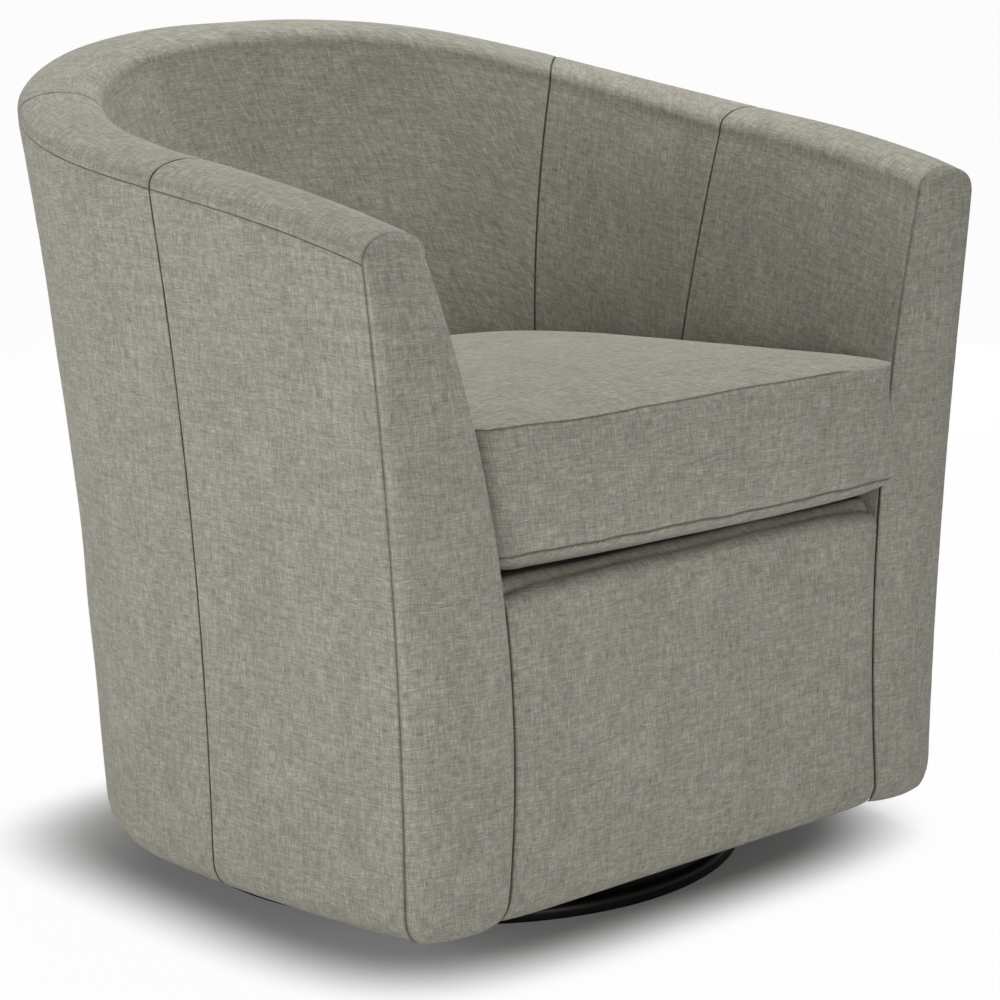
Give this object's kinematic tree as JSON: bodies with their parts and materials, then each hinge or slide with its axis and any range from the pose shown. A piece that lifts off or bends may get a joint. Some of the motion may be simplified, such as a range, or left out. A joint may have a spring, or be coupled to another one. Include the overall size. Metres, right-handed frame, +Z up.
{
  "type": "swivel barrel chair",
  "caption": "Upholstered barrel chair: a U-shaped tub with a raked, rounded back and a loose box seat cushion, turning on a low round base.",
  "frame": {"origin": "on the floor, on the swivel axis, at the middle of the round base's underside", "axes": "+Z up, the seat opens towards -Y, +X is the right arm as seen from the front"},
  "size_m": [0.7938, 0.7178, 0.7845],
  "materials": {
    "fabric": "matte",
    "foam": "matte",
    "timber": "matte",
    "card": "matte",
    "lining": "matte",
    "felt": "matte",
    "dark_wood": "satin",
    "steel": "satin",
    "spring_steel": "satin",
    "nylon": "satin"
  },
  "bodies": {
    "base": {"base_disc": "dark_wood", "swivel_plate_lower": "steel", "base_screw_1": "steel", "base_screw_2": "steel", "base_screw_3": "steel", "base_screw_4": "steel"},
    "tub": {"outside_cover_front_left": "fabric", "outside_cover_rear_left": "fabric", "outside_cover_back": "fabric", "outside_cover_rear_right": "fabric", "outside_cover_front_right": "fabric", "inside_cover_front_left": "fabric", "inside_cover_rear_left": "fabric", "inside_cover_back": "fabric", "inside_cover_rear_right": "fabric", "inside_cover_front_right": "fabric", "arm_front_cover_left": "fabric", "arm_front_cover_right": "fabric", "rail_cover": "fabric", "arm_front_pad_left": "foam", "arm_front_pad_right": "foam", "rim_pad": "foam", "inside_pad_left": "foam", "inside_pad_back": "foam", "inside_pad_right": "foam", "rail_pad": "foam", "arm_post_left": "timber", "arm_post_right": "timber", "side_post_left": "timber", "rear_post_left": "timber", "back_post": "timber", "rear_post_right": "timber", "side_post_right": "timber", "top_band": "timber", "tack_ring": "timber", "bottom_board": "timber", "front_board": "timber", "back_board": "timber", "side_board_left": "timber", "side_board_right": "timber", "swivel_spacer": "timber", "outside_liner": "card", "dust_cover": "lining", "seat_deck": "lining", "seat_spring_1": "spring_steel", "seat_spring_2": "spring_steel", "seat_spring_3": "spring_steel", "seat_spring_4": "spring_steel", "spring_clips_front": "steel", "spring_clips_back": "steel", "swivel_plate_upper": "steel", "tub_screw_1": "steel", "tub_screw_2": "steel", "tub_screw_3": "steel", "tub_screw_4": "steel", "seat_pad": "felt"},
    "cage": {"ball_cage": "nylon"},
    "cushion": {"cushion_cover": "fabric", "cushion_core": "foam", "cushion_zip": "lining"}
  },
  "joints": [
    {"name": "swivel", "type": "hinge", "parent": "base", "child": "tub", "pos_m": [0, 0, 0.03001], "axis": [0, 0, 1], "continuous": true},
    {"name": "cage_turn", "type": "hinge", "parent": "base", "child": "cage", "pos_m": [0, 0, 0.03001], "axis": [0, 0, 1], "continuous": true},
    {"name": "cushion_lift", "type": "slide", "parent": "tub", "child": "cushion", "axis": [0, 0, 1], "range_m": [0, 0.25]}
  ],
  "couplings": [
    {"joint": "cage_turn", "follows": "swivel", "ratio": 0.5}
  ]
}
